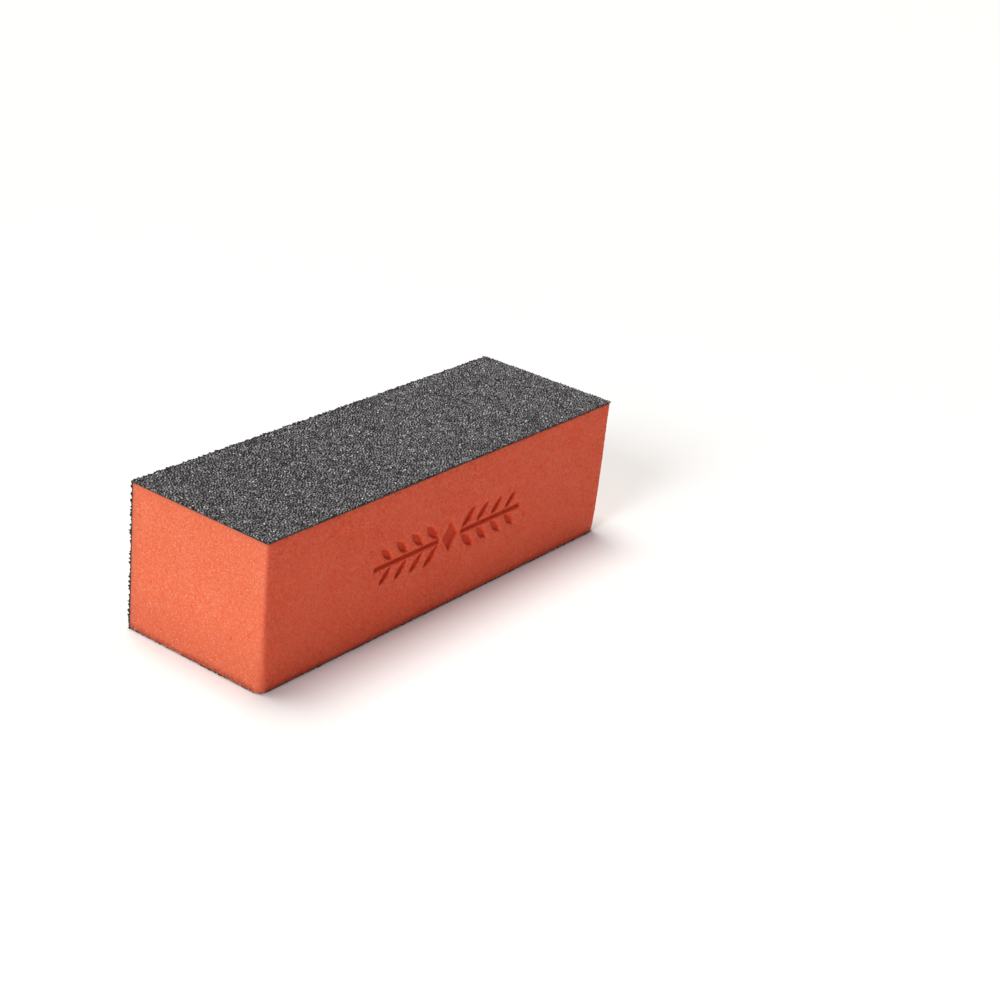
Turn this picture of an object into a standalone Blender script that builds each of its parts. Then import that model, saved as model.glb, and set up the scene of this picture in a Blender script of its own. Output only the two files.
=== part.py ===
"""Three-sided nail buffer block: a foam core with an abrasive strip on its top, back and bottom.

Metres, +Z up. The block stands on its bottom strip with the origin at the middle of its footprint.
X runs along the block, and the bare foam face, with the pressed leaf border, looks along -Y.
"""

import math

import bmesh
import bpy
from mathutils import Vector

MM = 0.001

# The finished block, over the outside of its strips.
LENGTH = 95.0 * MM
DEPTH = 31.0 * MM
HEIGHT = 27.8 * MM

# One abrasive strip, from its outer face inwards: (layer, thickness).
STRIP_LAYERS = (
    ("grit_coat", 0.20 * MM),
    ("backing_paper", 0.12 * MM),
    ("adhesive_film", 0.04 * MM),
)
LAYER_GAP = 0.02 * MM
STRIP_THICKNESS = sum(thickness + LAYER_GAP for _, thickness in STRIP_LAYERS)

# The soft core is a hair shorter and narrower than the paper, and its edges are eased.
PAPER_OVERHANG = 0.06 * MM
CORE_EDGE_RADIUS = 0.4 * MM
CORE_EDGE_SEGMENTS = 3

# The leaf border pressed into the bare face: a centre diamond with leaf pairs along a stem each way.
MARK_DEPTH = 0.45 * MM
MARK_HALF_LENGTH = 20.5 * MM
DIAMOND_HALF_WIDTH = 2.1 * MM
DIAMOND_HALF_HEIGHT = 2.9 * MM
STEM_START = 3.0 * MM
STEM_WIDTH = 0.8 * MM
LEAF_PAIRS = 4
LEAF_FIRST = 3.4 * MM
LEAF_PITCH = 4.2 * MM
LEAF_LENGTH = 4.6 * MM
LEAF_WIDTH = 1.5 * MM
LEAF_SHRINK = 0.25 * MM
LEAF_ANGLE = math.radians(42)
LEAF_CLEARANCE = 0.75 * MM
LEAF_ARC_STEPS = 8

FOAM_COLOUR = (0.86, 0.17, 0.075)
GRIT_COLOUR = (0.035, 0.034, 0.035)
PAPER_COLOUR = (0.045, 0.04, 0.038)
ADHESIVE_COLOUR = (0.55, 0.16, 0.07)


def clear_scene():
    for old in list(bpy.data.objects):
        bpy.data.objects.remove(old)


def new_collection(name):
    collection = bpy.data.collections.new(name)
    bpy.context.scene.collection.children.link(collection)
    return collection


def plain_material(name, colour, roughness):
    material = bpy.data.materials.new(name)
    material.use_nodes = True
    shader = material.node_tree.nodes["Principled BSDF"]
    shader.inputs["Base Color"].default_value = (*colour, 1)
    shader.inputs["Roughness"].default_value = roughness
    shader.inputs["Metallic"].default_value = 0
    return material


def slab(name, low, high, material, collection):
    """A box between two corners, with its origin at its middle."""
    low, high = Vector(low), Vector(high)
    mesh = bpy.data.meshes.new(name)
    bm = bmesh.new()
    bmesh.ops.create_cube(bm, size=1)
    bmesh.ops.scale(bm, vec=high - low, verts=bm.verts)
    bm.to_mesh(mesh)
    bm.free()
    mesh.materials.append(material)
    box = bpy.data.objects.new(name, mesh)
    box.location = (low + high) / 2
    collection.objects.link(box)
    return box


def leaf_outline(x, z, length, width, angle):
    """A pointed leaf from (x, z) outwards: two equal arcs that meet at both tips."""
    half, rise = length / 2, width / 2
    radius = (half**2 + rise**2) / (2 * rise)
    reach = math.asin(half / radius)
    upper = []
    for step in range(LEAF_ARC_STEPS + 1):
        turn = reach * (2 * step / LEAF_ARC_STEPS - 1)
        upper.append((half + radius * math.sin(turn), rise - radius * (1 - math.cos(turn))))
    lower = [(along, -across) for along, across in reversed(upper[1:-1])]
    cos, sin = math.cos(angle), math.sin(angle)
    return [(x + a * cos - c * sin, z + a * sin + c * cos) for a, c in upper + lower]


def leaf_sizes(pair):
    """How long and how wide a leaf is: each pair is smaller than the one before it."""
    length = LEAF_LENGTH - pair * LEAF_SHRINK
    return length, LEAF_WIDTH * length / LEAF_LENGTH


def border_outlines():
    """The closed outlines of the pressed border, about the middle of the bare face."""
    outlines = [
        [
            (DIAMOND_HALF_WIDTH, 0),
            (0, DIAMOND_HALF_HEIGHT),
            (-DIAMOND_HALF_WIDTH, 0),
            (0, -DIAMOND_HALF_HEIGHT),
        ]
    ]
    for way in (1, -1):
        inner, outer = way * STEM_START, way * MARK_HALF_LENGTH
        half = STEM_WIDTH / 2
        outlines.append([(inner, -half), (outer, -half), (outer, half), (inner, half)])
        for pair in range(LEAF_PAIRS):
            length, width = leaf_sizes(pair)
            foot = LEAF_FIRST + pair * LEAF_PITCH
            leaf = leaf_outline(foot, LEAF_CLEARANCE, length, width, LEAF_ANGLE)
            outlines.append([(way * x, z) for x, z in leaf])
            outlines.append([(way * x, -z) for x, z in leaf])
    return outlines


def border_cutter(collection):
    """The outlines as one solid, through the bare face to the depth that they are pressed."""
    curve = bpy.data.curves.new("border_curve", "CURVE")
    curve.dimensions = "2D"
    curve.fill_mode = "BOTH"
    curve.extrude = MARK_DEPTH
    for outline in border_outlines():
        spline = curve.splines.new("POLY")
        spline.points.add(len(outline) - 1)
        for point, (x, z) in zip(spline.points, outline):
            point.co = (x, z, 0, 1)
        spline.use_cyclic_u = True
    guide = bpy.data.objects.new("border_guide", curve)
    guide.location = (0, -DEPTH / 2 + PAPER_OVERHANG, HEIGHT / 2)
    guide.rotation_euler = (math.pi / 2, 0, 0)
    collection.objects.link(guide)
    bpy.context.view_layer.update()

    graph = bpy.context.evaluated_depsgraph_get()
    mesh = bpy.data.meshes.new_from_object(guide.evaluated_get(graph))
    bm = bmesh.new()
    bm.from_mesh(mesh)
    bmesh.ops.remove_doubles(bm, verts=bm.verts, dist=0.001 * MM)
    bmesh.ops.recalc_face_normals(bm, faces=bm.faces)
    bm.to_mesh(mesh)
    bm.free()
    cutter = bpy.data.objects.new("border_cutter", mesh)
    cutter.matrix_world = guide.matrix_world
    cutter.hide_render = True
    cutter.display_type = "WIRE"
    collection.objects.link(cutter)
    bpy.data.objects.remove(guide)
    return cutter


def add_foam_core(material, parts, cutters):
    """The foam bar: it fills the room inside the strips and is bare in front and at both ends."""
    half = LENGTH / 2 - PAPER_OVERHANG
    low = (-half, -DEPTH / 2 + PAPER_OVERHANG, STRIP_THICKNESS)
    high = (half, DEPTH / 2 - STRIP_THICKNESS, HEIGHT - STRIP_THICKNESS)
    core = slab("foam_core", low, high, material, parts)
    eased = core.modifiers.new("eased_edges", "BEVEL")
    eased.width = CORE_EDGE_RADIUS
    eased.segments = CORE_EDGE_SEGMENTS
    pressed = core.modifiers.new("pressed_border", "BOOLEAN")
    pressed.operation = "DIFFERENCE"
    pressed.object = border_cutter(cutters)


def layer_depths():
    """Each layer with how far its outer and inner faces lie under the strip's outer face."""
    outer = 0
    for layer, thickness in STRIP_LAYERS:
        yield layer, outer, outer + thickness
        outer += thickness + LAYER_GAP


def strip_corners(side, outer, inner):
    """The corners of a layer. The back strip is full height, and the others stop against it."""
    left, right = -LENGTH / 2, LENGTH / 2
    front, back = -DEPTH / 2, DEPTH / 2
    against_back = back - STRIP_THICKNESS
    if side == "back":
        return (left, back - inner, 0), (right, back - outer, HEIGHT)
    if side == "top":
        return (left, front, HEIGHT - inner), (right, against_back, HEIGHT - outer)
    return (left, front, outer), (right, against_back, inner)


def add_strip(side, materials, parts):
    for layer, outer, inner in layer_depths():
        low, high = strip_corners(side, outer, inner)
        slab(f"{side}_{layer}", low, high, materials[layer], parts)


def main():
    clear_scene()
    parts = new_collection("nail_buffer_block")
    cutters = new_collection("cutters")
    layer_materials = {
        "grit_coat": plain_material("grit", GRIT_COLOUR, 0.55),
        "backing_paper": plain_material("paper", PAPER_COLOUR, 0.8),
        "adhesive_film": plain_material("adhesive", ADHESIVE_COLOUR, 0.4),
    }
    add_foam_core(plain_material("foam", FOAM_COLOUR, 0.85), parts, cutters)
    for side in ("top", "back", "bottom"):
        add_strip(side, layer_materials, parts)


main()
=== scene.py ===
"""The look of a three-sided nail buffer block: an orange foam core with black abrasive strips.

Lengths are in millimetres until a mesh, light or camera is made. X runs along the block, the bare
foam face with the pressed leaf border looks along -Y, and Z is up.
"""

import math

import bpy
import numpy as np
from mathutils import Matrix, Quaternion, Vector


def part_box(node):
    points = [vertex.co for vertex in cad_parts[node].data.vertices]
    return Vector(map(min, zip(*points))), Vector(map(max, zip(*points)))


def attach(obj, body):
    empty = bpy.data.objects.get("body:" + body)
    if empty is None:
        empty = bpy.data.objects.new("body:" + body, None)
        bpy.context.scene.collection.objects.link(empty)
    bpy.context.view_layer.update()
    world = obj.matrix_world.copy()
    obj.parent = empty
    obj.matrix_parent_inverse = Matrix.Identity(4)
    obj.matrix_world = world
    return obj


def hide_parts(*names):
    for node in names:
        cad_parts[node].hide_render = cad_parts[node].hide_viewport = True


MM = 0.001
SIDES = ("top", "back", "bottom")

# The stretches of the foam's outline, seen from above, in order round it.
STRETCHES = range(6)
LEFT_END, LEFT_CORNER, FRONT, RIGHT_CORNER, RIGHT_END, BACK = STRETCHES

# The ways from a cell of a grid to the 24 cells round it.
STEPS_ROUND = [(a, b) for a in range(-2, 3) for b in range(-2, 3) if a or b]

# Foam: spacing of its surface points, and how its edges are rounded and tucked in. The front
# corners are rounder at the bottom than at the top.
FOAM_FINE = 0.15
FOAM_COARSE = 0.30
FOAM_HIDDEN = 2.0
CORNER_RADIUS_TOP = 0.6
CORNER_RADIUS_BOTTOM = 1.7
CORNER_FLARE = 3
CORNER_STEPS = 7
BOTTOM_TUCK_DEPTH = 0.16
BOTTOM_TUCK_HEIGHT = 1.0
TOP_TUCK_DEPTH = 0.06
TOP_TUCK_HEIGHT = 0.22
TUCK_STEPS = 5

# Foam: the lip that bulges down over the bottom strip, and fades out towards the back strip.
LIP_DROP = 0.24
LIP_WIDTH = 0.12
LIP_FADE = 0.88

# Foam: its uneven cut surface, as (size of a bump, height) from broad waves to fine ones, with
# cells and open pores. It flattens out beside the strips.
CUT_WAVES = ((22.0, 0.06), (6.0, 0.02), (1.6, 0.010))
CELL_PITCH = 0.55
CELL_RELIEF = 0.03
PORE_PITCH = 6.5
PORE_RADIUS = 0.18
PORE_DEPTH = 0.13
RELIEF_FADE = 0.22

# Foam: rougher rims with a painted highlight, torn lower edges darkened partly as painted contact
# shade, painted shade beside the strips, and painted shade towards the bottom of the ends.
RIM_WIDTH = 0.5
RIM_ROUGHER = 0.8
RIM_HIGHLIGHT_ON_FACE = 0.3
FRAYED_AND_SHADE_HEIGHT = 1.2
FRAYED_AND_SHADE_UNEVEN = ((0.7, 0.3), (6.0, 0.4))
FRAYED_AND_SHADE_SHARE = 0.55
FRAYED_AND_SHADE_AT_CORNER = 0.4
FRAYED_PITCH = 0.6
FRAYED_RELIEF = 0.12
STRIP_SHADE_WIDTH = 0.7
STRIP_SHADE_SHARE = 0.30
LOW_SHADE_HEIGHT = 12.0
LOW_SHADE_SHARE = 0.26

# The leaf border pressed into the bare face, the same as on the CAD core.
MARK_DEPTH = 0.45
MARK_WALL = 0.26
MARK_SHOULDER = 0.45
MARK_SHOULDER_DEPTH = 0.12
MARK_SMOOTHER = 0.5
MARK_HALF_LENGTH = 20.5
MARK_ROOM = (22.0, 5.2)
DIAMOND_HALF_WIDTH = 2.1
DIAMOND_HALF_HEIGHT = 2.9
STEM_START = 3.0
STEM_WIDTH = 0.8
LEAF_PAIRS = 4
LEAF_FIRST = 3.4
LEAF_PITCH = 4.2
LEAF_LENGTH = 4.6
LEAF_WIDTH = 1.5
LEAF_SHRINK = 0.25
LEAF_ANGLE = math.radians(42)
LEAF_CLEARANCE = 0.75

# Abrasive: spacing of its surface points, and its grains. Scatter and room are in grain pitches,
# and levels are shares of the height of the tallest tip.
GRIT_SPACING = 0.18
GRIT_SCATTER = 0.07
GRAIN_PITCH = 0.51
GRAIN_SCATTER = 2.0
GRAIN_ROOM = 1.1
GRAIN_SHOVE = 0.3
GRAIN_SHOVES = 5
GRAIN_GAP = 0.34
GRAIN_LOWEST = 0.78
GRAIN_LEAN = 0.6
GRAIN_BROKEN = 0.3
RESIN_LEVEL = 0.04
CHIPPED_LEVEL = 0.2

# Abrasive, for each side of the block: the tallest tip in thicknesses of the coat, and how the
# grains beside a cut edge are chipped, dimmed and lifted.
TIP_REACH = {"top": 1.9, "back": 1.9, "bottom": 1.0}
CHIPPED_EDGE = 0.3
CHIPPED_SHARE = {"top": 0.05, "back": 0.3, "bottom": 0.3}
CUT_DIMMED = {"top": 0.0, "back": 0.8, "bottom": 0.8}
CUT_LIFT = {"top": 0.0, "back": 0.8, "bottom": 0.0}
CUT_LIFT_REACH = 0.6

# Strips: how ragged their cut edges are, and how far in from the edge that shows. Rim and sheet
# levels are where a cut edge has points, as shares of its height.
CUT_REACH = 0.9
CUT_RAGGED = {"top": 0.15, "back": 0.15, "bottom": 0.40}
PAPER_RAGGED = {"top": 0.08, "back": 0.08, "bottom": 0.40}
GLUE_RAGGED = 0.5
RAGGED_MIDDLE = 0.55
RAGGED_WAVES = ((0.45, 0.3), (5.0, 0.15))
EDGE_WANDER = 0.3
WORN_CORNER = 2.3
RIM_LEVELS = (0.5, 0.0)
SHEET_LEVELS = (0.0, 0.5, 1.0)
SHEET_EDGE_SPACING = 0.25

# Painted foam: sizes of its detail, and how much of each shows. Spots are (full, gone) distances
# from a cell's middle, in cells.
CELL_SIZE = 0.27
CELL_SHOWN = 0.7
CELL_TILT = 0.55
PATCH_SIZE = 0.45
PATCH_SHOWN = 0.2
CLOUD_SIZE = 8.0
CLOUD_SHOWN = 0.1
RIM_HIGHLIGHT_SHOWN = 0.5
PRESSED_SHADED_SHOWN = 0.75
TORN_AND_SHADE_SHOWN = (0.4, 0.9)
GLINT_SPACING = 0.52
GLINT_SPOT = (0.12, 0.22)
GLINT_RAREST = 0.74
GLINT_IN_BORDER = 0.1
GLINT_ON_FACE = 0.45
GLINT_SHOWN = 0.7
# Dark dots: painted shade in open pores.
DOT_SPACING = 4.3
DOT_SPOT = (0.022, 0.034)
DOT_SHOWN = 0.9
FOAM_BUMP_SIZE = 0.22
FOAM_BUMP = 0.06
FOAM_ROUGHNESS = (0.65, 0.3)
FOAM_SPECULAR = 0.12
FOAM_GLOW = 0.15
FOAM_GLOW_RADIUS = (1.0, 0.35, 0.2)
FOAM_GLOW_REACH = 0.7

# Painted abrasive: facets within each grain. Proud is how high a point stands where the resin ends
# and where the grain is full. The resin's black is partly painted shade between the grains.
FACET_SIZE = 0.21
FACET_TILT = 0.9
FACET_DARKEST = 0.1
FACET_ROUGHNESS = (0.2, 0.6)
GLEAM_FROM = (0.93, 0.96)
GRAIN_DARKEST = 0.42
GRAIN_DARKER = 1.6
PROUD = (0.28, 0.62)
RESIN_ROUGHNESS = 0.9
GRIT_SPECULAR = 0.45

# Painted paper and glue.
FIBRE_SIZE = 0.12
FIBRE_SHOWN = (0.45, 0.75)
FIBRE_BUMP = 0.03
PAPER_ROUGHNESS = (0.75, 0.95)
POOL_SIZE = 0.8
POOL_SHOWN = (0.35, 0.65)
POOL_BUMP = 0.02
GLUE_ROUGHNESS = (0.3, 0.5)

# The ends take a paler, pinker copy of the foam's colour as painted light, and the long face a
# deeper copy as painted shade.
FOAM_LIT_END_PALE = (0.95, 0.260, 0.142)
FOAM_LIT_END_DEEP = (0.86, 0.122, 0.035)
FOAM_SHADED_FACE_PALE = (0.97, 0.198, 0.107)
FOAM_SHADED_FACE_DEEP = (0.80, 0.063, 0.016)
# Painted highlight along the eased rims.
FOAM_RIM_HIGHLIGHT = (0.94, 0.220, 0.125)
# Torn foam, also standing in for painted contact shade and painted shade beside the strips and low
# on the ends.
FOAM_FRAYED_AND_SHADED = (0.20, 0.032, 0.020)
# Pressed foam, darkened partly as painted shade in the border's recess.
FOAM_PRESSED_SHADED = (0.66, 0.040, 0.008)
FOAM_GLINT = (1.0, 0.78, 0.68)
FOAM_PORE_SHADE = (0.10, 0.018, 0.012)
# Black resin, also standing in for painted shade low between the grains.
GRIT_RESIN_AND_SHADE = (0.010, 0.007, 0.007)
GRIT_DARK = (0.105, 0.097, 0.099)
# Grains painted paler than black mineral as painted sheen, and painted gleams on a few facets.
GRIT_SHEEN = (0.64, 0.63, 0.64)
GRIT_GLEAM = (0.92, 0.92, 0.94)
PAPER_DARK = (0.050, 0.044, 0.042)
PAPER_FIBRE = (0.15, 0.125, 0.115)
# Glue: the foam's colour darkened as painted shade in the gap under the strips.
GLUE_SHADED = (0.30, 0.070, 0.035)
GLUE_SHADED_DEEP = (0.15, 0.035, 0.020)
FLOOR_COLOUR = (0.94, 0.94, 0.94)

# Camera, as it stands in front of the block: place in mm, turn from +Y towards +X, dip and roll.
CAMERA_PLACE = (-245.7, -197.6, 159.6)
CAMERA_TURN = math.radians(54.95)
CAMERA_DIP = math.radians(24.24)
CAMERA_ROLL = math.radians(6.24)
CAMERA_LENS = 68.7
SENSOR_WIDTH = 36.0

# The room: half the floor's side, and the strengths of the white that the camera sees and of the
# even light that reaches the block.
FLOOR_HALF = 6000.0
FLOOR_ROUGHNESS = 0.8
BACKDROP_STRENGTH = 1.0
FILL_STRENGTH = 0.08


# ---------------------------------------------------------------- number helpers


def eased(t):
    """0 to 1 with a soft start and end."""
    t = np.clip(t, 0, 1)
    return t * t * (3 - 2 * t)


def near(gap, reach):
    """1 at a gap of 0, falling evenly to 0 at the reach."""
    return np.clip(1 - gap / reach, 0, 1)


def smooth_noise(u, v, pitch, seed):
    """Random heights from -1 to 1 over a surface, about one bump to every pitch."""
    a, b = u / pitch, v / pitch
    i, j = np.floor(a).astype(int), np.floor(b).astype(int)
    fa, fb = eased(a - i), eased(b - j)
    i, j = i - i.min(), j - j.min()
    values = np.random.default_rng(seed).uniform(-1, 1, (i.max() + 2, j.max() + 2))
    lower = values[i, j] * (1 - fa) + values[i + 1, j] * fa
    upper = values[i, j + 1] * (1 - fa) + values[i + 1, j + 1] * fa
    return lower * (1 - fb) + upper * fb


def waves(u, v, sizes, seed, seed_step=1, level=0.0):
    """Smooth noise of several sizes about a level. Each size is (size of a bump, height)."""
    total = np.full_like(u, level)
    for number, (pitch, height) in enumerate(sizes):
        total += height * smooth_noise(u, v, pitch, seed + number * seed_step)
    return total


def pushed_apart(seeds):
    """Seeds, one to a cell of a grid, moved away from neighbours that lie within their room."""
    push = np.zeros_like(seeds)
    for step in STEPS_ROUND:
        away = seeds - np.roll(seeds, step, axis=(1, 2))
        gap = np.hypot(*away)
        push += away / gap * np.maximum(GRAIN_ROOM - gap, 0)
    return seeds + GRAIN_SHOVE * push


def nearby_seeds(u, v, pitch, seed, count=0, scatter=1.0, shoves=0):
    """For the 25 seeds round each point: the way from the seed, and count numbers of its own.

    There is one seed to a cell of the pitch, scattered over that many pitches about its middle.
    """
    i, j = np.floor(u / pitch).astype(int), np.floor(v / pitch).astype(int)
    first = np.array([i.min(), j.min()]) - 2
    i, j = i - first[0], j - first[1]
    table = np.random.default_rng(seed).random((count + 2, i.max() + 3, j.max() + 3))
    seeds = 0.5 + scatter * (table[:2] - 0.5) + np.indices(table.shape[1:])
    for _ in range(shoves):
        seeds = pushed_apart(seeds)
    seeds = (first[:, None, None] + seeds) * pitch
    for step_i, step_j in ((0, 0), *STEPS_ROUND):
        a, b = i + step_i, j + step_j
        yield u - seeds[0, a, b], v - seeds[1, a, b], table[2:, a, b]


def stretch(low, high, spacing):
    """Evenly spaced places from low to high, both included."""
    return np.linspace(low, high, max(2, round((high - low) / spacing) + 1))


def finer_between(low, high, room, fine, coarse):
    """Places from low to high that lie closer together within room of the middle."""
    middle = (low + high) / 2
    parts = (
        stretch(low, middle - room, coarse)[:-1],
        stretch(middle - room, middle + room, fine)[:-1],
        stretch(middle + room, high, coarse),
    )
    return np.concatenate(parts)


# ---------------------------------------------------------------- mesh helpers


def make_piece(name, points, faces, material, smooth):
    """A mesh object from points in mm."""
    mesh = bpy.data.meshes.new(name)
    mesh.from_pydata((np.asarray(points) * MM).tolist(), [], faces)
    mesh.update()
    if smooth:
        mesh.shade_smooth()
    else:
        mesh.shade_flat()
    mesh.materials.append(material)
    piece = bpy.data.objects.new(name, mesh)
    bpy.context.scene.collection.objects.link(piece)
    return piece


def mark_points(piece, name, values):
    """A number at each point of a mesh, for its material to read."""
    attribute = piece.data.attributes.new(name, "FLOAT", "POINT")
    attribute.data.foreach_set("value", np.ravel(values).astype(np.float32))


def ring_quads(lower, upper):
    """Quads between two closed rings of point numbers."""
    lower, upper = np.asarray(lower), np.asarray(upper)
    quads = np.stack([lower, np.roll(lower, -1), np.roll(upper, -1), upper], axis=1)
    return quads.tolist()


def grid_quads(numbers):
    """Quads over a grid of point numbers."""
    corners = numbers[:-1, :-1], numbers[1:, :-1], numbers[1:, 1:], numbers[:-1, 1:]
    return np.stack([c.ravel() for c in corners], axis=1).tolist()


def grid_border(numbers):
    """The numbers round a grid's border, once each, in order."""
    edges = numbers[:-1, 0], numbers[-1, :-1], numbers[:0:-1, -1], numbers[0, :0:-1]
    return np.concatenate(edges)


def box_mm(node):
    """The low and high corners of a CAD node, in mm."""
    low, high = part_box(node)
    return np.array(low) / MM, np.array(high) / MM


# ---------------------------------------------------------------- the pressed border


def leaf_distance(u, v, pair):
    """Signed distance to one leaf, a lens of two equal arcs. It is below 0 inside."""
    length = LEAF_LENGTH - pair * LEAF_SHRINK
    half, rise = length / 2, LEAF_WIDTH * length / LEAF_LENGTH / 2
    radius = (half**2 + rise**2) / (2 * rise)
    from_foot = u - LEAF_FIRST - pair * LEAF_PITCH, v - LEAF_CLEARANCE
    cos, sin = math.cos(LEAF_ANGLE), math.sin(LEAF_ANGLE)
    along = from_foot[0] * cos + from_foot[1] * sin - half
    across = from_foot[1] * cos - from_foot[0] * sin
    return np.hypot(along, np.abs(across) + radius - rise) - radius


def mark_distance(u, v):
    """Signed distance to the pressed border, from the middle of the bare face."""
    u, v = np.abs(u), np.abs(v)
    slant = math.hypot(1 / DIAMOND_HALF_WIDTH, 1 / DIAMOND_HALF_HEIGHT)
    diamond = (u / DIAMOND_HALF_WIDTH + v / DIAMOND_HALF_HEIGHT - 1) / slant
    stem_middle = (STEM_START + MARK_HALF_LENGTH) / 2
    stem_half = (MARK_HALF_LENGTH - STEM_START) / 2
    stem = np.maximum(np.abs(u - stem_middle) - stem_half, v - STEM_WIDTH / 2)
    nearest = np.minimum(diamond, stem)
    for pair in range(LEAF_PAIRS):
        nearest = np.minimum(nearest, leaf_distance(u, v, pair))
    return nearest


def stamped(distance):
    """1 on the floor of the border and 0 outside it, at a signed distance from its outline."""
    return eased(0.5 - distance / MARK_WALL)


def pressed_in(distance):
    """How deep the border's stamp leaves the foam, at a signed distance from its outline."""
    shoulder = np.exp(-np.maximum(distance, 0) / MARK_SHOULDER)
    return MARK_DEPTH * stamped(distance) + MARK_SHOULDER_DEPTH * shoulder


# ---------------------------------------------------------------- foam


def foam_rows(low, high):
    """The foam's outline from bottom to top: each row's height and how far it is tucked in.

    The first two rows are the inside of the lip that bulges down over the bottom strip.
    """
    turns = np.linspace(0, math.pi / 2, TUCK_STEPS + 1)
    bottom = low - LIP_DROP + (BOTTOM_TUCK_HEIGHT + LIP_DROP) * (1 - np.cos(turns))
    top = high - TOP_TUCK_HEIGHT * (1 - np.cos(turns[::-1]))
    middle = (low + high) / 2
    mark_low, mark_high = middle - MARK_ROOM[1], middle + MARK_ROOM[1]
    parts = (
        [low, low - LIP_DROP],
        bottom[:-1],
        stretch(bottom[-1], mark_low, FOAM_COARSE)[:-1],
        stretch(mark_low, mark_high, FOAM_FINE)[:-1],
        stretch(mark_high, top[0], FOAM_COARSE)[:-1],
        top,
    )
    heights = np.concatenate(parts)
    tucks = np.zeros_like(heights)
    tucks[:2] = BOTTOM_TUCK_DEPTH + LIP_WIDTH, BOTTOM_TUCK_DEPTH + LIP_WIDTH / 2
    tucks[2 : len(turns) + 2] = BOTTOM_TUCK_DEPTH * (1 - np.sin(turns))
    tucks[-len(turns) :] = TOP_TUCK_DEPTH * (1 - np.sin(turns[::-1]))
    return heights, tucks


def foam_columns(low, high):
    """The columns round the foam, seen from above: (stretch of the outline, share along it)."""
    side = stretch(low[1], high[1], FOAM_COARSE)
    side_shares = (side - low[1]) / (high[1] - low[1])
    front = finer_between(low[0], high[0], MARK_ROOM[0], FOAM_FINE, FOAM_COARSE)
    front_shares = (front - low[0]) / (high[0] - low[0])
    turn_shares = np.linspace(0, 1, CORNER_STEPS + 1)[1:-1]
    back_shares = stretch(0, 1, FOAM_HIDDEN / (high[0] - low[0]))[1:-1]
    parts = (side_shares, turn_shares, front_shares, turn_shares, side_shares, back_shares)
    numbers = np.concatenate([np.full(len(p), k) for k, p in enumerate(parts)])
    return numbers, np.concatenate(parts)


def by_stretch(part, values):
    """For each point, the value of the stretch that it lies on, or 0 where none is given."""
    return np.choose(part, [values.get(stretch_of, 0) for stretch_of in STRETCHES])


def foam_outline(part, share, radius, low, high):
    """Where each column stands and which way its surface looks, for a corner radius per point."""
    left, right, front, back = low[0], high[0], low[1], high[1]
    cos, sin = np.cos(share * math.pi / 2), np.sin(share * math.pi / 2)
    inner_left, inner_right, inner_front = left + radius, right - radius, front + radius
    x = {
        LEFT_END: left,
        LEFT_CORNER: inner_left - radius * cos,
        FRONT: inner_left + share * (inner_right - inner_left),
        RIGHT_CORNER: inner_right + radius * sin,
        RIGHT_END: right,
        BACK: right + share * (left - right),
    }
    y = {
        LEFT_END: back + share * (inner_front - back),
        LEFT_CORNER: inner_front - radius * sin,
        FRONT: front,
        RIGHT_CORNER: inner_front - radius * cos,
        RIGHT_END: inner_front + share * (back - inner_front),
        BACK: back,
    }
    out_x = {LEFT_END: -1, LEFT_CORNER: -cos, RIGHT_CORNER: sin, RIGHT_END: 1}
    out_y = {LEFT_CORNER: -sin, FRONT: -1, RIGHT_CORNER: -cos, BACK: 1}
    return [by_stretch(part, values) for values in (x, y, out_x, out_y)]


def foam_relief(u, v):
    """How far the cut foam stands out (+) or lies in (-), by broad waves, cells and open pores."""
    relief = waves(u, v, CUT_WAVES, seed=11)
    nearest = np.full_like(u, CELL_PITCH)
    for du, dv, _ in nearby_seeds(u, v, CELL_PITCH, seed=21):
        nearest = np.minimum(nearest, np.hypot(du, dv))
    relief += CELL_RELIEF * (1 - 2 * nearest / CELL_PITCH)
    for du, dv, (size,) in nearby_seeds(u, v, PORE_PITCH, seed=31, count=1):
        radius = PORE_RADIUS * (0.5 + size)
        relief -= PORE_DEPTH * (0.4 + size) * eased(1.5 - np.hypot(du, dv) / radius)
    return relief


def rim_share(part, x, y, height, low, high):
    """1 at the eased edges of each point's own face, fading away from them."""
    from_side = np.minimum(x - low[0], high[0] - x)
    from_front = np.minimum(y - low[1], high[1] - y)
    own = by_stretch(part, {LEFT_END: from_front, FRONT: from_side, RIGHT_END: from_front})
    gap = np.maximum(np.minimum(own, high[2] - height), 0)
    return np.exp(-gap / RIM_WIDTH)


def frayed_and_shade_share(part, along, y, height, end_face, low, high):
    """How torn and dark the foam is: its bottom edge, partly torn and partly painted contact shade,
    and painted shade beside the strips and towards the bottom of its ends.
    """
    above = height - low[2]
    uneven = waves(along, height, FRAYED_AND_SHADE_UNEVEN, seed=42, level=1.0)
    frayed_and_shade = FRAYED_AND_SHADE_SHARE * eased(1 - above / (FRAYED_AND_SHADE_HEIGHT * uneven))
    frayed_and_shade *= np.where(np.isin(part, (LEFT_CORNER, RIGHT_CORNER)), FRAYED_AND_SHADE_AT_CORNER, 1)
    # Painted shade beside the strips.
    from_strip = np.minimum(high[2] - height, high[1] - y)
    frayed_and_shade += STRIP_SHADE_SHARE * np.exp(-from_strip / STRIP_SHADE_WIDTH)
    # Painted shade, darker towards the bottom of the ends.
    frayed_and_shade += LOW_SHADE_SHARE * end_face * eased(1 - above / LOW_SHADE_HEIGHT)
    return frayed_and_shade


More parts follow.
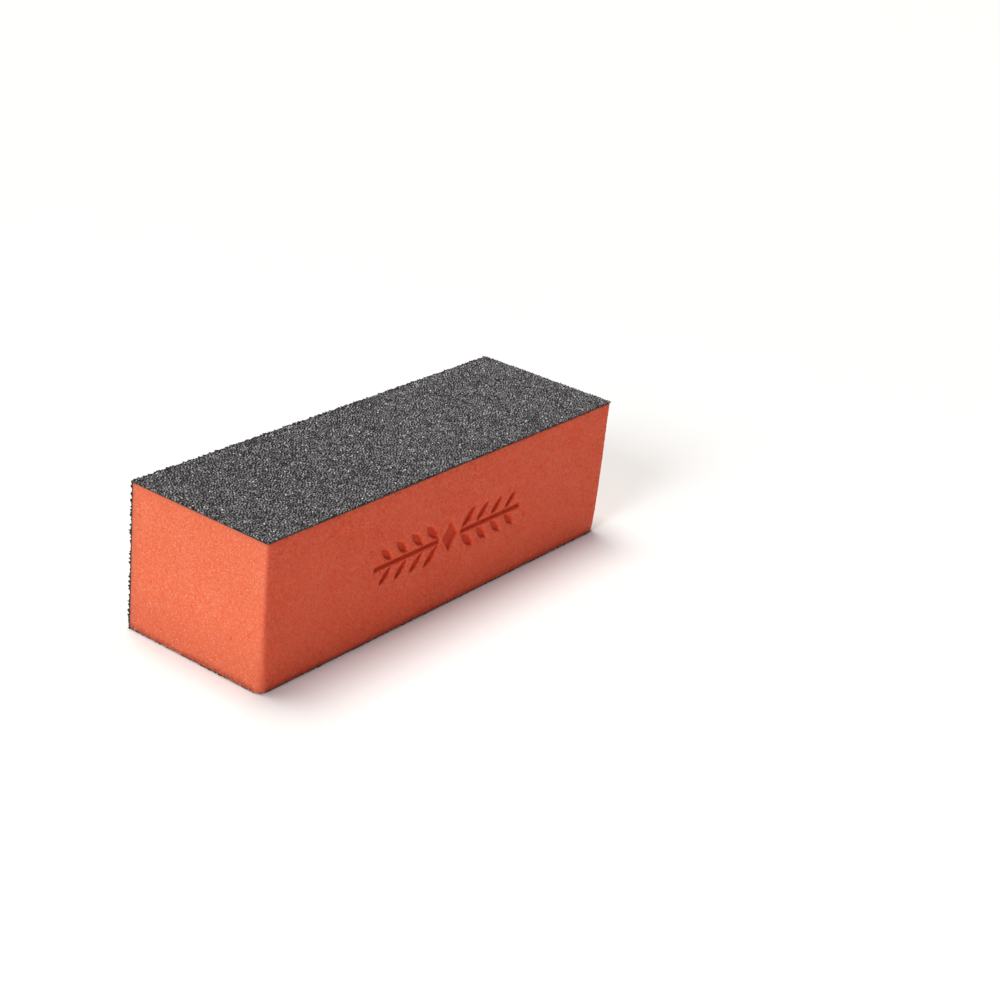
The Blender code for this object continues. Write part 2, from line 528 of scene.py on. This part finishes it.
def make_foam(material):
    """The foam block, in rings of points from bottom to top, with a cap at each end."""
    low, high = box_mm("foam_core")
    heights, tucks = foam_rows(low[2], high[2])
    part, share = foam_columns(low, high)
    part, height = np.meshgrid(part, heights)
    share, tuck = np.meshgrid(share, tucks)
    fall = 1 - (height - low[2]) / (high[2] - low[2])
    radius = CORNER_RADIUS_TOP + (CORNER_RADIUS_BOTTOM - CORNER_RADIUS_TOP) * fall**CORNER_FLARE
    x, y, out_x, out_y = foam_outline(part, share, radius, low, high)

    along = x + out_x * (y - low[1])
    # 1 on the ends, which the material paints with the lit copy of the foam's colour.
    ends = {LEFT_END: 1, LEFT_CORNER: 1 - share, RIGHT_CORNER: share, RIGHT_END: 1}
    end_face = by_stretch(part, ends)
    rim = rim_share(part, x, y, height, low, high)
    frayed_and_shade = frayed_and_shade_share(part, along, y, height, end_face, low, high)
    distance = mark_distance(x, height - (low[2] + high[2]) / 2)
    pressed = np.where(part == FRONT, stamped(distance), 0)

    relief = foam_relief(along, height) * (1 + RIM_ROUGHER * rim)
    relief += FRAYED_RELIEF * frayed_and_shade * smooth_noise(along, height, FRAYED_PITCH, seed=41)
    relief *= 1 - MARK_SMOOTHER * pressed
    relief -= np.where(part == FRONT, pressed_in(distance), 0)
    from_cap = np.minimum(height - low[2], high[2] - height)
    from_back = np.where(part == BACK, 0, high[1] - y)
    stand = relief * eased(from_cap / RELIEF_FADE) * eased(from_back / RELIEF_FADE) - tuck
    x, y = x + out_x * stand, y + out_y * stand
    height = np.maximum(height, low[2] - LIP_DROP * eased(from_back / LIP_FADE))

    points = np.stack([x, y, height], axis=-1).reshape(-1, 3)
    numbers = np.arange(len(points)).reshape(height.shape)
    faces = []
    for below, above in zip(numbers[:-1], numbers[1:]):
        faces += ring_quads(below, above)
    faces.append(numbers[0, ::-1].tolist())
    faces.append(numbers[-1].tolist())
    foam = make_piece("foam_block", points, faces, material, smooth=True)
    mark_points(foam, "end_face", end_face)
    mark_points(foam, "pressed", pressed)
    # The rim share, weaker on the long face, is painted as a highlight along the eased edges.
    mark_points(foam, "rim", rim * (RIM_HIGHLIGHT_ON_FACE + (1 - RIM_HIGHLIGHT_ON_FACE) * end_face))
    mark_points(foam, "frayed_and_shade", frayed_and_shade)
    return foam


# ---------------------------------------------------------------- abrasive strips


class Layer:
    """One layer of a strip, with its own axes: along and across it, and out from its inner face."""

    def __init__(self, side, name):
        low, high = box_mm(f"{side}_{name}")
        across = {"top": (0, 1, 0), "back": (0, 0, 1), "bottom": (0, 1, 0)}[side]
        outwards = {"top": (0, 0, 1), "back": (0, 1, 0), "bottom": (0, 0, -1)}[side]
        self.side = side
        self.ways = np.array([(1, 0, 0), across, outwards], float)
        self.corner = np.array([low[0], low[1], high[2] if side == "bottom" else low[2]])
        self.length, self.width, self.thickness = np.abs(self.ways) @ (high - low)

    def place(self, u, v, out):
        """Points in the frame of the block, from places on the layer's own axes."""
        return self.corner + np.stack([u, v, out], axis=-1).reshape(-1, 3) @ self.ways

    def outward(self, faces):
        """The faces, turned round where the layer's axes are left-handed."""
        if np.linalg.det(self.ways) < 0:
            return [face[::-1] for face in faces]
        return faces


def from_cut_edge(u, v, layer):
    """How far each point of a layer is from its nearest cut edge."""
    return np.minimum(np.minimum(u, layer.length - u), np.minimum(v, layer.width - v))


def worn_corners(u, v, length):
    """Rounds the two corners at v = 0, as a square bends into a disc."""
    for corner, inwards in ((0, 1), (length, -1)):
        a = 1 - (u - corner) * inwards / WORN_CORNER
        b = 1 - v / WORN_CORNER
        inside = (a > 0) & (b > 0)
        bent_a, bent_b = a * np.sqrt(1 - b**2 / 2 * inside), b * np.sqrt(1 - a**2 / 2 * inside)
        u = np.where(inside, corner + inwards * WORN_CORNER * (1 - bent_a), u)
        v = np.where(inside, WORN_CORNER * (1 - bent_b), v)
    return u, v


def ragged_edges(u, v, layer, amount, seed):
    """Pulls points near the cut edges in unevenly, after wearing the bottom's front corners."""
    if layer.side == "bottom":
        u, v = worn_corners(u, v, layer.length)
    here = np.zeros_like(u)
    edges = (u, v), (layer.length - u, v), (v, u), (layer.width - v, u)
    pulls = []
    for edge, (gap, place) in enumerate(edges):
        uneven = waves(place, here, RAGGED_WAVES, seed + edge, seed_step=10, level=RAGGED_MIDDLE)
        pulls.append(amount * uneven * near(gap, CUT_REACH))
    return u + pulls[0] - pulls[1], v + pulls[2] - pulls[3]


def grain_heights(u, v, from_cut, chipped, seed):
    """Heights from 0 in the resin to 1 at the tips, and a number from 0 to 1 for each grain.

    Grains are cells round seeds that have pushed each other apart. Along the cut edges some grains
    have broken off.
    """
    nearest, second = np.full((2, *u.shape), np.inf)
    own = np.zeros((4, *u.shape))
    for du, dv, drawn in nearby_seeds(u, v, GRAIN_PITCH, seed, 5, GRAIN_SCATTER, GRAIN_SHOVES):
        away = np.hypot(du, dv)
        closer = away < nearest
        second = np.where(closer, nearest, np.minimum(second, away))
        nearest = np.where(closer, away, nearest)
        lean = (drawn[0] - 0.5) * du + (drawn[1] - 0.5) * dv
        own = np.where(closer, [lean, *drawn[2:]], own)
    lean, tall, shade, hold = own
    top = GRAIN_LOWEST + (1 - GRAIN_LOWEST) * tall + 2 * GRAIN_LEAN * lean / GRAIN_PITCH
    top = np.where((from_cut < CHIPPED_EDGE) & (hold < chipped), CHIPPED_LEVEL, top)
    top = top * (1 - GRAIN_BROKEN * np.random.default_rng(seed + 1).random(u.shape))
    inside = np.clip((second - nearest) / GRAIN_GAP, 0, 1)
    return np.clip(top * inside, RESIN_LEVEL, 1), shade


def make_grit(side, seed, material):
    """One coat of grains: a rough outer face, a ragged cut edge and a flat inner face."""
    layer = Layer(side, "grit_coat")
    rng = np.random.default_rng(seed)
    places = stretch(0, layer.length, GRIT_SPACING), stretch(0, layer.width, GRIT_SPACING)
    u, v = np.meshgrid(*places, indexing="ij")
    scatter = np.zeros_like(u)
    scatter[1:-1, 1:-1] = GRIT_SCATTER
    u = u + scatter * rng.uniform(-1, 1, u.shape)
    v = v + scatter * rng.uniform(-1, 1, v.shape)
    from_cut = from_cut_edge(u, v, layer)
    relief, shade = grain_heights(u, v, from_cut, CHIPPED_SHARE[side], seed)
    tip = relief * (1 - CUT_DIMMED[side] * near(from_cut, CHIPPED_EDGE))
    lift = 1 + CUT_LIFT[side] * near(from_cut, CUT_LIFT_REACH)
    outer = layer.thickness * TIP_REACH[side] * relief * lift
    u, v = ragged_edges(u, v, layer, CUT_RAGGED[side], seed)

    numbers = np.arange(u.size).reshape(u.shape)
    border = grid_border(numbers)
    rim_u, rim_v, rim_outer = (values.ravel()[border] for values in (u, v, outer))
    points, rings = [layer.place(u, v, outer)], [border]
    for step, level in enumerate(RIM_LEVELS):
        points.append(layer.place(rim_u, rim_v, rim_outer * level))
        rings.append(u.size + step * len(border) + np.arange(len(border)))
    faces = grid_quads(numbers)
    for outer_ring, inner_ring in zip(rings[:-1], rings[1:]):
        faces += ring_quads(inner_ring, outer_ring)
    faces.append(rings[-1][::-1].tolist())
    faces = layer.outward(faces)
    grit = make_piece(f"{side}_grit", np.concatenate(points), faces, material, smooth=False)
    for name, values in (("tip", tip.ravel()), ("shade", shade.ravel())):
        at_rims = np.tile(values[border], len(RIM_LEVELS))
        mark_points(grit, name, np.concatenate([values, at_rims]))
    return grit


def make_sheet(name, layer, ragged, seed, material):
    """A paper or glue layer: flat faces with an uneven cut edge."""
    along = stretch(0, layer.length, SHEET_EDGE_SPACING)
    across = stretch(0, layer.width, SHEET_EDGE_SPACING)
    border = grid_border(np.arange(len(along) * len(across)).reshape(len(along), len(across)))
    count = len(border)
    u, v = along[border // len(across)], across[border % len(across)]
    u, v = ragged_edges(u, v, layer, ragged, seed)
    wanders = ragged * EDGE_WANDER * np.random.default_rng(seed).random((len(SHEET_LEVELS), count))
    way_u, way_v = np.sign(u - layer.length / 2), np.sign(v - layer.width / 2)
    points = []
    for level, wander in zip(SHEET_LEVELS, wanders):
        out = np.full(count, level * layer.thickness)
        points.append(layer.place(u - wander * way_u, v - wander * way_v, out))
    rings = [np.arange(count) + k * count for k in range(len(SHEET_LEVELS))]
    faces = []
    for inner_ring, outer_ring in zip(rings[:-1], rings[1:]):
        faces += ring_quads(inner_ring, outer_ring)
    faces.append(rings[0][::-1].tolist())
    faces.append(rings[-1].tolist())
    faces = layer.outward(faces)
    return make_piece(name, np.concatenate(points), faces, material, smooth=False)


# ---------------------------------------------------------------- materials


class Nodes:
    """A material's node tree, with short calls for the nodes used here."""

    def __init__(self, name):
        self.material = bpy.data.materials.new(name)
        self.material.use_nodes = True
        self.tree = self.material.node_tree
        self.shader = self.tree.nodes["Principled BSDF"]
        self.position = self.add("ShaderNodeTexCoord").outputs["Object"]

    def add(self, kind, settings=(), **inputs):
        """A node with its settings, and its inputs by name."""
        node = self.tree.nodes.new(kind)
        for key, value in dict(settings).items():
            setattr(node, key, value)
        for key, value in inputs.items():
            self.feed(node.inputs[key], value)
        return node

    def feed(self, socket, value):
        """Links another node's output to a socket, or sets the socket to a value."""
        if isinstance(value, bpy.types.NodeSocket):
            self.tree.links.new(value, socket)
        else:
            socket.default_value = value

    def noise(self, size, detail=2.0, roughness=0.5):
        """Noise with bumps of about that size in mm, from 0 to 1."""
        inputs = {"Scale": 1 / (size * MM), "Detail": detail, "Roughness": roughness}
        return self.add("ShaderNodeTexNoise", Vector=self.position, **inputs).outputs["Fac"]

    def cells(self, size):
        """Cells of about that size in mm: the distance from a cell's middle, and its own colour."""
        scale = 1 / (size * MM)
        outputs = self.add("ShaderNodeTexVoronoi", Vector=self.position, Scale=scale).outputs
        return outputs["Distance"], outputs["Color"]

    def between(self, value, low, high, start=0.0, end=1.0):
        """value from low to high, turned into start to end, and held there outside."""
        node = self.add("ShaderNodeMapRange", {"clamp": True}, Value=value)
        limits = {"From Min": low, "From Max": high, "To Min": start, "To Max": end}
        for key, number in limits.items():
            self.feed(node.inputs[key], number)
        return node.outputs["Result"]

    def spread(self, noise, start, end):
        """Noise turned into start to end, from where it is commonly low to where it is high."""
        return self.between(noise, 0.3, 0.7, start, end)

    def maths(self, operation, a, b):
        node = self.add("ShaderNodeMath", {"operation": operation})
        self.feed(node.inputs[0], a)
        self.feed(node.inputs[1], b)
        return node.outputs[0]

    def times(self, a, b):
        return self.maths("MULTIPLY", a, b)

    def plus(self, a, b):
        return self.maths("ADD", a, b)

    def blend(self, share, first, second):
        """A colour between two others."""
        node = self.add("ShaderNodeMix", {"data_type": "RGBA"}, Factor=share)
        for key, colour in (("A", first), ("B", second)):
            socket = next(s for s in node.inputs if s.name == key and s.type == "RGBA")
            self.feed(socket, (*colour, 1) if isinstance(colour, tuple) else colour)
        return next(s for s in node.outputs if s.type == "RGBA")

    def parts(self, colour):
        """The three numbers of a colour."""
        return self.add("ShaderNodeSeparateColor", Color=colour).outputs

    def stored(self, name):
        """A number kept at the mesh's points."""
        return self.add("ShaderNodeAttribute", {"attribute_name": name}).outputs["Fac"]

    def bump(self, height, depth, normal=None):
        """The surface direction, with relief of that depth in mm over a height from 0 to 1."""
        node = self.add("ShaderNodeBump", Height=height, Distance=depth * MM, Strength=1.0)
        if normal is not None:
            self.feed(node.inputs["Normal"], normal)
        return node.outputs["Normal"]

    def facets(self, colour, amount):
        """The surface direction, tipped a different way in each cell of a random colour."""
        middle = self.add("ShaderNodeVectorMath", {"operation": "SUBTRACT"})
        self.feed(middle.inputs[0], colour)
        middle.inputs[1].default_value = (0.5, 0.5, 0.5)
        scaled = self.add("ShaderNodeVectorMath", {"operation": "SCALE"}, Scale=amount)
        self.feed(scaled.inputs[0], middle.outputs[0])
        summed = self.add("ShaderNodeVectorMath", {"operation": "ADD"})
        self.feed(summed.inputs[0], scaled.outputs[0])
        self.feed(summed.inputs[1], self.add("ShaderNodeNewGeometry").outputs["Normal"])
        unit = self.add("ShaderNodeVectorMath", {"operation": "NORMALIZE"})
        self.feed(unit.inputs[0], summed.outputs[0])
        return unit.outputs[0]

    def finish(self, colour, roughness, normal):
        """Feeds the shader and gives the finished material."""
        self.feed(self.shader.inputs["Base Color"], colour)
        self.feed(self.shader.inputs["Roughness"], roughness)
        self.feed(self.shader.inputs["Normal"], normal)
        return self.material


def foam_glint(nodes, pressed, end_face):
    """How much each point glints: a few cells do, but less on the long face and in the border."""
    distance, colour = nodes.cells(GLINT_SPACING)
    chosen = nodes.between(nodes.parts(colour)[0], GLINT_RAREST, 1.0)
    spot = nodes.between(distance, *GLINT_SPOT, 1.0, 0.0)
    outside = nodes.between(pressed, 0, 0.6, 1.0, GLINT_IN_BORDER)
    glint = nodes.times(nodes.times(chosen, spot), outside)
    return nodes.times(glint, nodes.between(end_face, 0, 1, GLINT_ON_FACE, 1.0))


def foam_material():
    """Fine-celled orange foam: mottled, with glints, painted shade in pores, painted light on the
    ends and painted shade on the long face, and a deeper pressed border, partly denser foam and
    partly painted shade.
    """
    nodes = Nodes("orange_foam")
    pressed, end_face = nodes.stored("pressed"), nodes.stored("end_face")
    _, cell_colour = nodes.cells(CELL_SIZE)
    patches = nodes.noise(PATCH_SIZE)
    clouds = nodes.spread(nodes.noise(CLOUD_SIZE), 0, CLOUD_SHOWN)
    mottle = nodes.plus(nodes.spread(patches, 0, PATCH_SHOWN), clouds)
    mottle = nodes.plus(nodes.times(nodes.parts(cell_colour)[0], CELL_SHOWN), mottle)
    # Painted light and shade: the long face takes the shaded copy of the colour, the ends the lit
    # one.
    face = nodes.blend(mottle, FOAM_SHADED_FACE_DEEP, FOAM_SHADED_FACE_PALE)
    end = nodes.blend(mottle, FOAM_LIT_END_DEEP, FOAM_LIT_END_PALE)
    colour = nodes.blend(end_face, face, end)
    # Painted highlight along the eased rims.
    colour = nodes.blend(nodes.times(nodes.stored("rim"), RIM_HIGHLIGHT_SHOWN), colour, FOAM_RIM_HIGHLIGHT)
    # The pressed border: denser foam, darkened partly as painted shade in its recess.
    colour = nodes.blend(nodes.times(pressed, PRESSED_SHADED_SHOWN), colour, FOAM_PRESSED_SHADED)
    # Torn foam and painted shade: at the bottom edge, beside the strips and low on the ends.
    torn_and_shade = nodes.times(nodes.stored("frayed_and_shade"), nodes.between(patches, 0.3, 0.6, *TORN_AND_SHADE_SHOWN))
    colour = nodes.blend(torn_and_shade, colour, FOAM_FRAYED_AND_SHADED)
    glint = foam_glint(nodes, pressed, end_face)
    colour = nodes.blend(nodes.times(glint, GLINT_SHOWN), colour, FOAM_GLINT)
    # Dark dots: painted shade in open pores.
    distance, _ = nodes.cells(DOT_SPACING)
    colour = nodes.blend(nodes.between(distance, *DOT_SPOT, DOT_SHOWN, 0.0), colour, FOAM_PORE_SHADE)

    nodes.shader.inputs["Specular IOR Level"].default_value = FOAM_SPECULAR
    nodes.shader.inputs["Subsurface Weight"].default_value = FOAM_GLOW
    nodes.shader.inputs["Subsurface Radius"].default_value = FOAM_GLOW_RADIUS
    nodes.shader.inputs["Subsurface Scale"].default_value = FOAM_GLOW_REACH * MM
    roughness = nodes.between(glint, 0, 0.6, *FOAM_ROUGHNESS)
    tilted = nodes.facets(cell_colour, CELL_TILT)
    normal = nodes.bump(nodes.noise(FOAM_BUMP_SIZE), FOAM_BUMP, tilted)
    return nodes.finish(colour, roughness, normal)


def grit_material():
    """Black mineral grains, each of its own darkness and painted paler as painted sheen, with
    glinting facets and black resin that is partly painted shade between them.
    """
    nodes = Nodes("black_grit")
    _, facet_colour = nodes.cells(FACET_SIZE)
    drawn = nodes.parts(facet_colour)
    shade = nodes.maths("POWER", nodes.stored("shade"), GRAIN_DARKER)
    grain = nodes.between(shade, 0, 1, GRAIN_DARKEST, 1.0)
    facet = nodes.between(drawn[0], 0, 1, FACET_DARKEST, 1.0)
    # Paler grains are painted sheen on black mineral, varied by each grain's own tone and its
    # facets.
    colour = nodes.blend(nodes.times(grain, facet), GRIT_DARK, GRIT_SHEEN)
    colour = nodes.blend(nodes.between(drawn[1], *GLEAM_FROM), colour, GRIT_GLEAM)
    # Low points take the resin's black, which also stands in for painted shade between the grains.
    proud = nodes.between(nodes.stored("tip"), *PROUD)
    colour = nodes.blend(proud, GRIT_RESIN_AND_SHADE, colour)
    nodes.shader.inputs["Specular IOR Level"].default_value = GRIT_SPECULAR
    facet_roughness = nodes.between(drawn[2], 0, 1, *FACET_ROUGHNESS)
    roughness = nodes.between(proud, 0, 1, RESIN_ROUGHNESS, facet_roughness)
    return nodes.finish(colour, roughness, nodes.facets(facet_colour, FACET_TILT))


def paper_material():
    """Black backing paper, with paler fibres in its cut edge."""
    nodes = Nodes("backing_paper")
    fibres = nodes.noise(FIBRE_SIZE, detail=4.0, roughness=0.7)
    colour = nodes.blend(nodes.between(fibres, *FIBRE_SHOWN), PAPER_DARK, PAPER_FIBRE)
    roughness = nodes.spread(fibres, *PAPER_ROUGHNESS)
    return nodes.finish(colour, roughness, nodes.bump(fibres, FIBRE_BUMP))


def glue_material():
    """Clear glue that takes the colour of the foam behind it, darkened as painted shade in the gap
    under the strips.
    """
    nodes = Nodes("glue_film")
    pools = nodes.noise(POOL_SIZE)
    colour = nodes.blend(nodes.between(pools, *POOL_SHOWN), GLUE_SHADED_DEEP, GLUE_SHADED)
    roughness = nodes.spread(pools, *GLUE_ROUGHNESS)
    return nodes.finish(colour, roughness, nodes.bump(pools, POOL_BUMP))


# ---------------------------------------------------------------- stage


def add_camera():
    camera = bpy.data.objects.new("camera", bpy.data.cameras.new("camera"))
    camera.data.lens = CAMERA_LENS
    camera.data.sensor_width = SENSOR_WIDTH
    camera.data.clip_start = 0.01
    camera.data.clip_end = 20
    flat, drop = math.cos(CAMERA_DIP), math.sin(CAMERA_DIP)
    look = Vector((flat * math.sin(CAMERA_TURN), flat * math.cos(CAMERA_TURN), -drop))
    aim = look.to_track_quat("-Z", "Y") @ Quaternion((0, 0, 1), CAMERA_ROLL)
    camera.matrix_world = Matrix.LocRotScale(Vector(CAMERA_PLACE) * MM, aim, None)
    bpy.context.scene.collection.objects.link(camera)
    bpy.context.scene.camera = camera


def add_sun(name, towards, spread, strength, colour):
    """Even light from one side, with its spread in degrees. towards points at the light."""
    data = bpy.data.lights.new(name, "SUN")
    data.angle = math.radians(spread)
    data.energy = strength
    data.color = colour
    light = bpy.data.objects.new(name, data)
    light.rotation_mode = "QUATERNION"
    light.rotation_quaternion = (-Vector(towards)).to_track_quat("-Z", "Y")
    light.location = Vector(towards)
    bpy.context.scene.collection.objects.link(light)


def add_floor():
    nodes = Nodes("pale_floor")
    nodes.shader.inputs["Roughness"].default_value = FLOOR_ROUGHNESS
    nodes.shader.inputs["Base Color"].default_value = (*FLOOR_COLOUR, 1)
    half = FLOOR_HALF
    corners = [(-half, -half, 0), (half, -half, 0), (half, half, 0), (-half, half, 0)]
    floor = make_piece("floor", corners, [[0, 1, 2, 3]], nodes.material, smooth=False)


def add_world():
    """White all round where the camera sees it, and a dimmer even light for the object."""
    world = bpy.data.worlds.new("studio")
    world.use_nodes = True
    tree = world.node_tree
    tree.nodes.clear()
    whites = []
    for strength in (FILL_STRENGTH, BACKDROP_STRENGTH):
        white = tree.nodes.new("ShaderNodeBackground")
        white.inputs["Strength"].default_value = strength
        white.inputs["Color"].default_value = (1, 1, 1, 1)
        whites.append(white)
    path = tree.nodes.new("ShaderNodeLightPath")
    mix = tree.nodes.new("ShaderNodeMixShader")
    out = tree.nodes.new("ShaderNodeOutputWorld")
    tree.links.new(path.outputs["Is Camera Ray"], mix.inputs[0])
    tree.links.new(whites[0].outputs[0], mix.inputs[1])
    tree.links.new(whites[1].outputs[0], mix.inputs[2])
    tree.links.new(mix.outputs[0], out.inputs["Surface"])
    bpy.context.scene.world = world


def add_stage():
    add_camera()
    add_floor()
    add_world()
    add_sun("key", (-0.90, -0.08, 0.50), spread=20, strength=1.45, colour=(1.0, 1.05, 1.09))
    add_sun("overhead", (0.0, 0.25, 1.0), spread=30, strength=2.65, colour=(1.0, 0.97, 0.93))
    bpy.context.scene.view_settings.view_transform = "Standard"


# ---------------------------------------------------------------- the block


def settle(piece, node):
    """Hangs a piece under the root body and hides the CAD node that it stands for."""
    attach(piece, "root")
    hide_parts(node)


def build_block():
    foam = make_foam(foam_material())
    settle(foam, "foam_core")
    grit, paper, glue = grit_material(), paper_material(), glue_material()
    for number, side in enumerate(SIDES):
        seed = 100 * (number + 1)
        backing, adhesive = Layer(side, "backing_paper"), Layer(side, "adhesive_film")
        settle(make_grit(side, seed, grit), f"{side}_grit_coat")
        sheet = make_sheet(f"{side}_paper", backing, PAPER_RAGGED[side], seed + 50, paper)
        settle(sheet, f"{side}_backing_paper")
        film = make_sheet(f"{side}_glue", adhesive, GLUE_RAGGED, seed + 70, glue)
        settle(film, f"{side}_adhesive_film")


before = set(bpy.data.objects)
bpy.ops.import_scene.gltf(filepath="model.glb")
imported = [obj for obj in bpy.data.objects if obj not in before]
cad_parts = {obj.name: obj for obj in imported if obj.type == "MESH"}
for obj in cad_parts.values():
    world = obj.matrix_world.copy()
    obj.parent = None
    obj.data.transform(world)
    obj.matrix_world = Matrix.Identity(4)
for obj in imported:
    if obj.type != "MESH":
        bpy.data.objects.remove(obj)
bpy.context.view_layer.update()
add_stage()
build_block()
